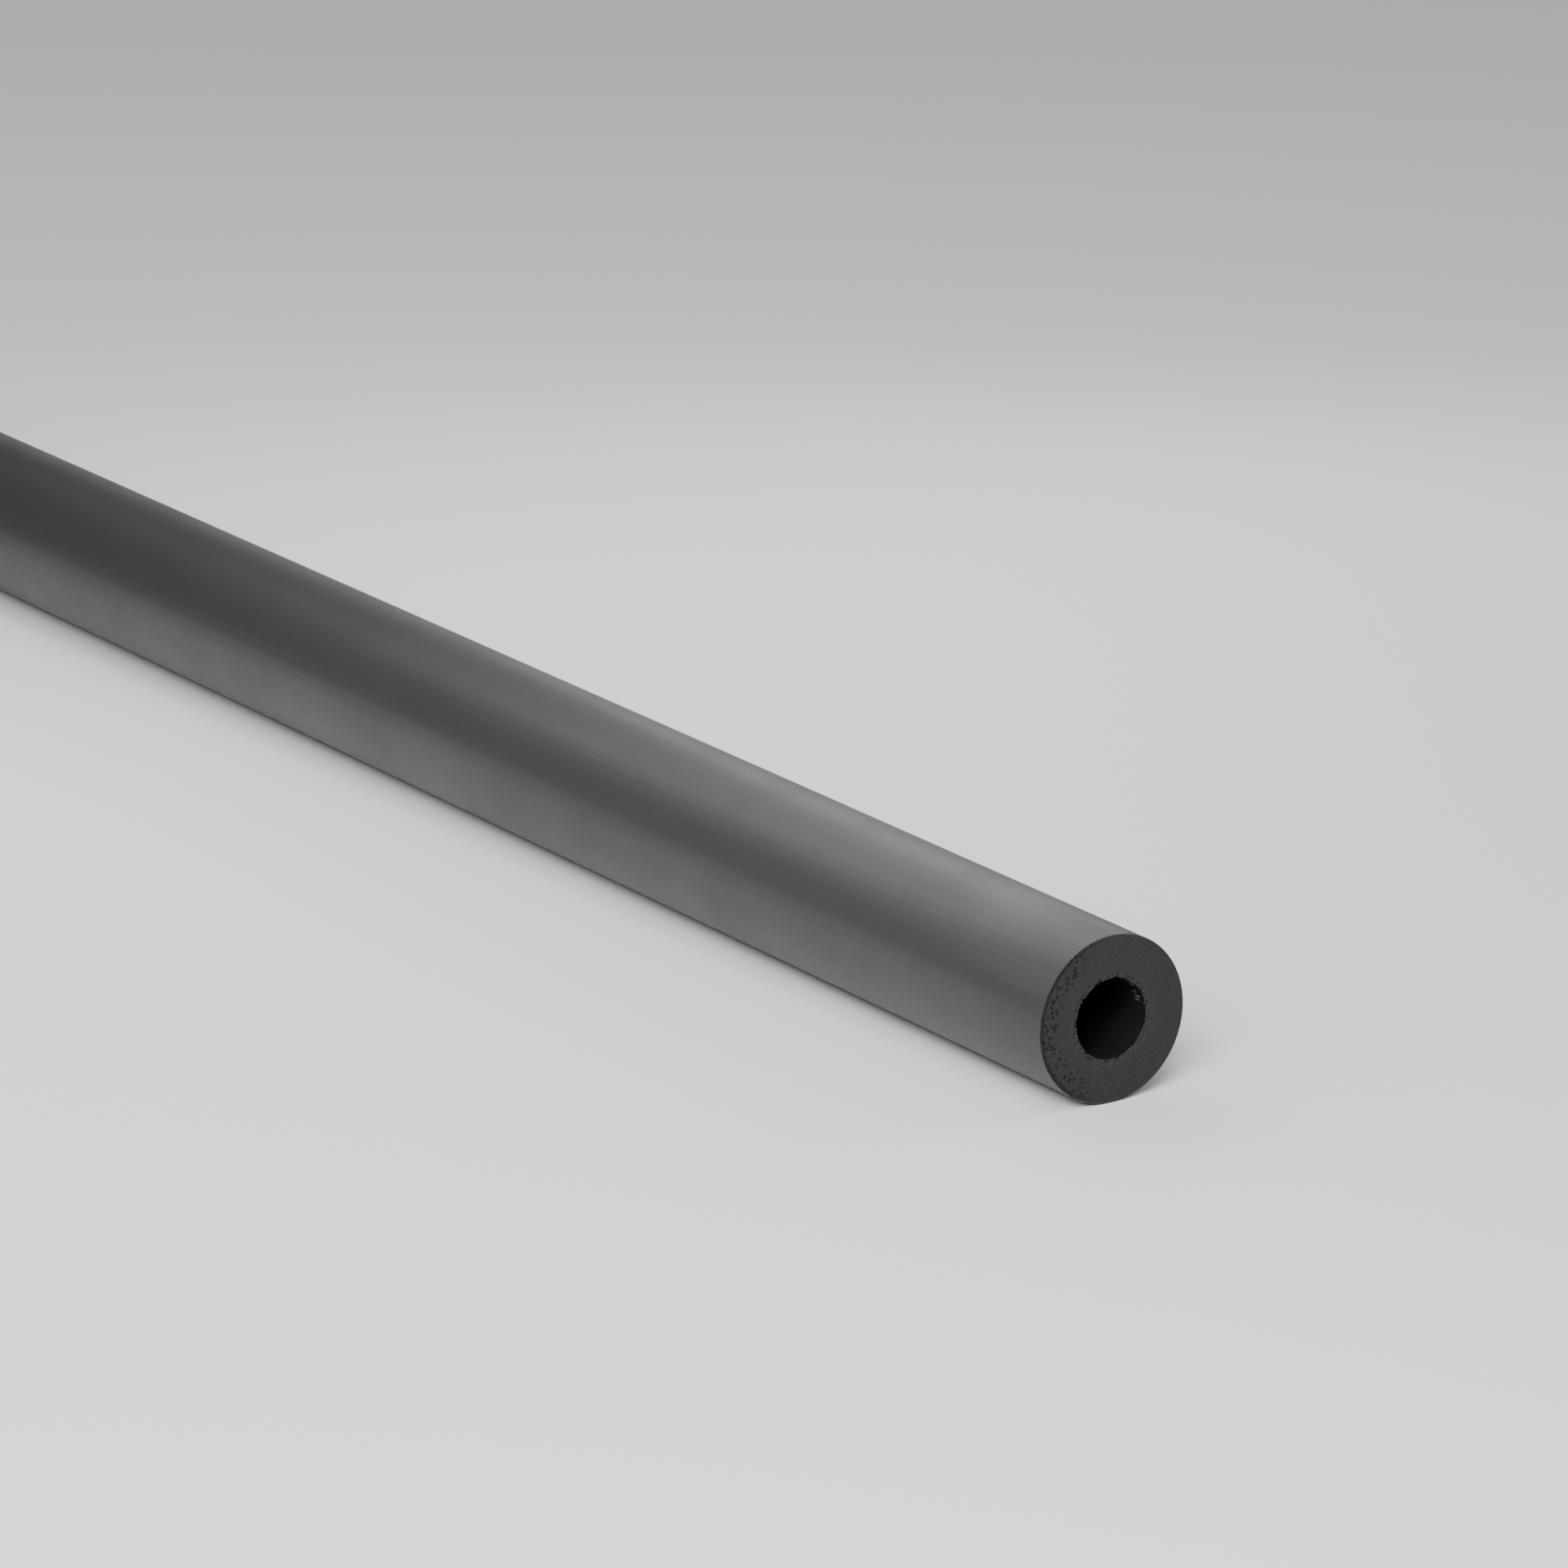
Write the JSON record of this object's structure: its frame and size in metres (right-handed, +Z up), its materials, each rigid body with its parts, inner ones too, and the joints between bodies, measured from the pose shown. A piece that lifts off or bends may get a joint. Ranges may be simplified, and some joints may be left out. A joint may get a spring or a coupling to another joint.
{
  "type": "pipe insulation lagging",
  "caption": "Straight round tube of soft closed-cell rubber foam with a through bore, cut square at both ends, for insulating a straight run of pipe.",
  "frame": {"origin": "on the axis of the bore, halfway along the tube", "axes": "+X along the bore towards the near cut end, +Z up, with the tube lying on its side on a level floor"},
  "size_m": [2, 0.0494, 0.0494],
  "materials": {
    "foam": "dark grey closed-cell nitrile rubber foam, with a smooth satin extruded skin and knife-cut cells on the ends"
  },
  "bodies": {
    "root": {"foam_tube": "foam"}
  },
  "joints": []
}
